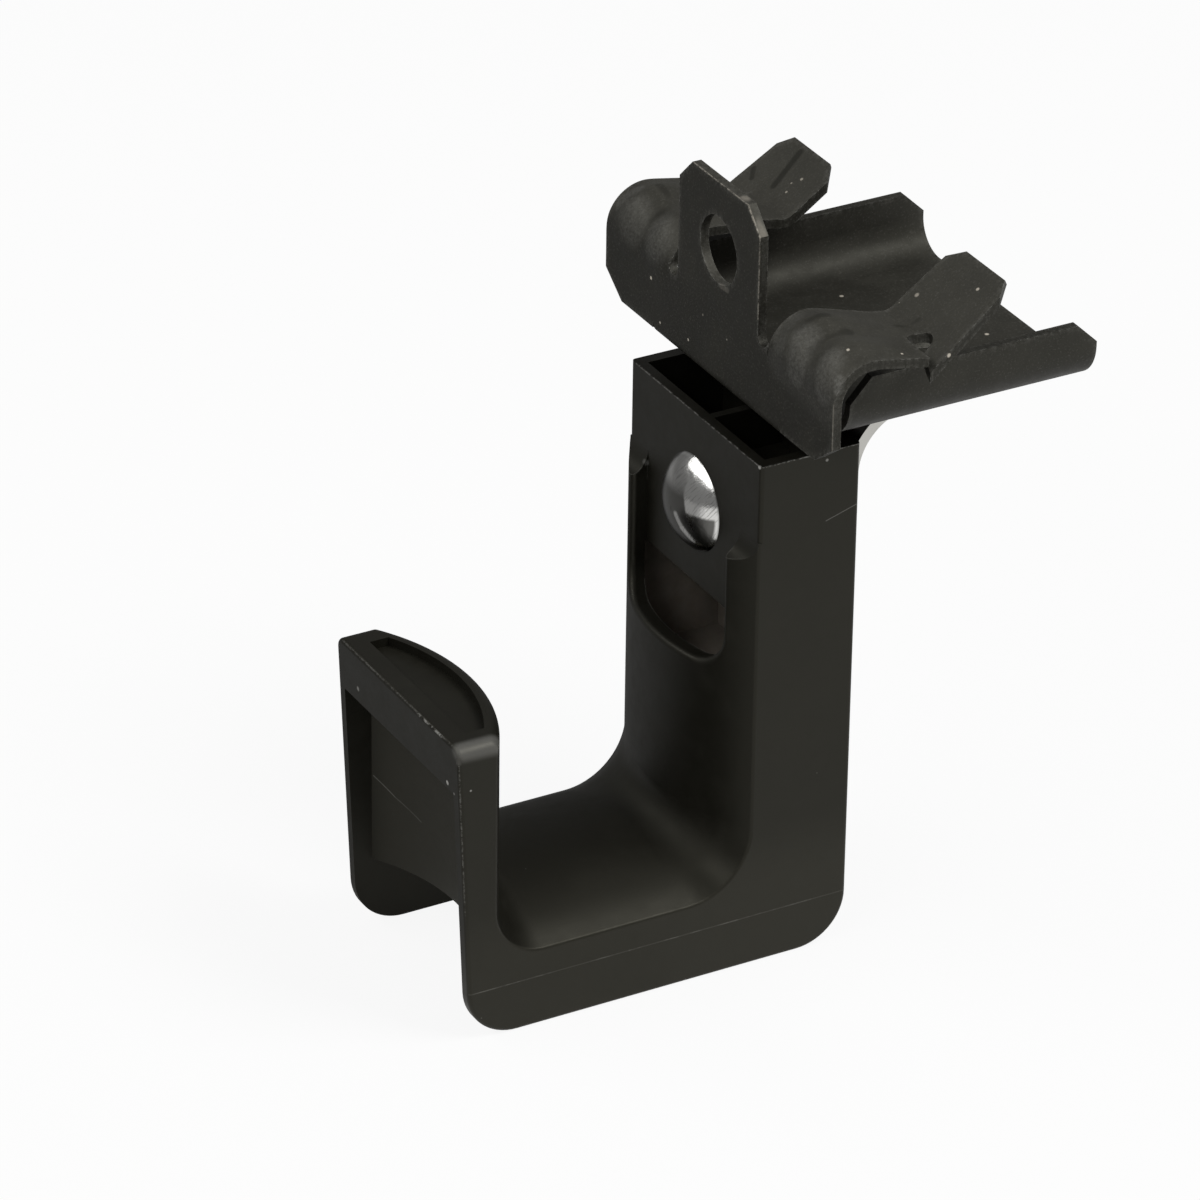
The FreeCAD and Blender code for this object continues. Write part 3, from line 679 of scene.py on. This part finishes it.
def makeFloor():
    half = studio["floorSize"] / 2
    low = cadLow.z - studio["floorGap"] * mm
    mesh = bpy.data.meshes.new("floor")
    corners = [(-half, -half, low), (half, -half, low), (half, half, low), (-half, half, low)]
    mesh.from_pydata(corners, [], [(0, 1, 2, 3)])
    floor = bpy.data.objects.new("floor", mesh)
    bpy.context.scene.collection.objects.link(floor)
    f = Finish("paleFloor")
    at = f.axes(f.place())
    rays = ("Is Camera Ray", "Is Glossy Ray", "Is Transmission Ray")
    plain, shiny, clear = (f.add("ShaderNodeLightPath", {}, {}, ray) for ray in rays)
    behind = f.step(at["y"] - at["x"] * studio["behindLean"], *studio["behind"])
    dimmed = f.tint(f.step(at["x"], *studio["right"]), studio["glowBehind"], studio["glowRight"])
    colour = f.tint(behind * shiny, studio["white"], dimmed)
    matt = f.add("ShaderNodeBsdfDiffuse", {}, {"Color": studio["floorColour"]})
    glow = f.add("ShaderNodeEmission", {}, {"Color": colour, "Strength": 1.0})
    factor = f.maths("MAXIMUM", f.maths("MAXIMUM", plain, clear), shiny) * studio["glow"]
    mixed = f.add("ShaderNodeMixShader", {}, {0: factor, 1: matt, 2: glow})
    f.add("ShaderNodeOutputMaterial", {}, {"Surface": mixed})
    mesh.materials.append(f.material)


# The floor fills the picture, so the world is only soft light from all round
def makeWorld():
    world = bpy.data.worlds.new("studio")
    bpy.context.scene.world = world
    world.use_nodes = True
    tree = world.node_tree
    tree.nodes.clear()
    soft = tree.nodes.new("ShaderNodeBackground")
    soft.inputs["Color"].default_value = studio["white"]
    soft.inputs["Strength"].default_value = studio["world"]
    output = tree.nodes.new("ShaderNodeOutputWorld")
    tree.links.new(soft.outputs[0], output.inputs[0])


def makeLight(name, settings):
    data = bpy.data.lights.new(name, "AREA")
    data.shape = "RECTANGLE"
    data.size, data.size_y = settings["size"]
    data.energy = settings["power"]
    light = bpy.data.objects.new(name, data)
    bpy.context.scene.collection.objects.link(light)
    light.location = settings["at"]
    aim = (cadLow + cadHigh) / 2 - light.location
    light.rotation_euler = aim.to_track_quat("-Z", "Y").to_euler()


makeFloor()
makeWorld()
for name, lamp in studio["lamps"].items():
    makeLight(name, lamp)
print("floor, world and lamps set")


# The photograph's viewpoint: a long lens from the left front, well above the hook
view = {
    "azimuth": -29.23,
    "elevation": 29.21,
    "roll": 0.83,
    "distance": 730.41,
    "aim": (-12.78, 2.65, -30.88),
    "lens": 210.0,
    "sensor": 36.0,
    "clip": (0.01, 20),
}


def makeCamera():
    azimuth, elevation, roll = (math.radians(view[key]) for key in ("azimuth", "elevation", "roll"))
    level = math.cos(elevation)
    back = Vector((math.sin(azimuth) * level, -math.cos(azimuth) * level, math.sin(elevation)))
    flatRight = Vector((math.cos(azimuth), math.sin(azimuth), 0))
    flatUp = back.cross(flatRight)
    right = flatRight * math.cos(roll) + flatUp * math.sin(roll)
    up = back.cross(right)
    data = bpy.data.cameras.new("camera")
    data.lens = view["lens"]
    data.sensor_width = view["sensor"]
    data.clip_start, data.clip_end = view["clip"]
    camera = bpy.data.objects.new("camera", data)
    bpy.context.scene.collection.objects.link(camera)
    place = (Vector(view["aim"]) + back * view["distance"]) * mm
    turn = Matrix((right, up, back)).transposed().to_4x4()
    camera.matrix_world = Matrix.Translation(place) @ turn
    bpy.context.scene.camera = camera


makeCamera()
bpy.context.scene.view_settings.view_transform = "Standard"
print("camera set")
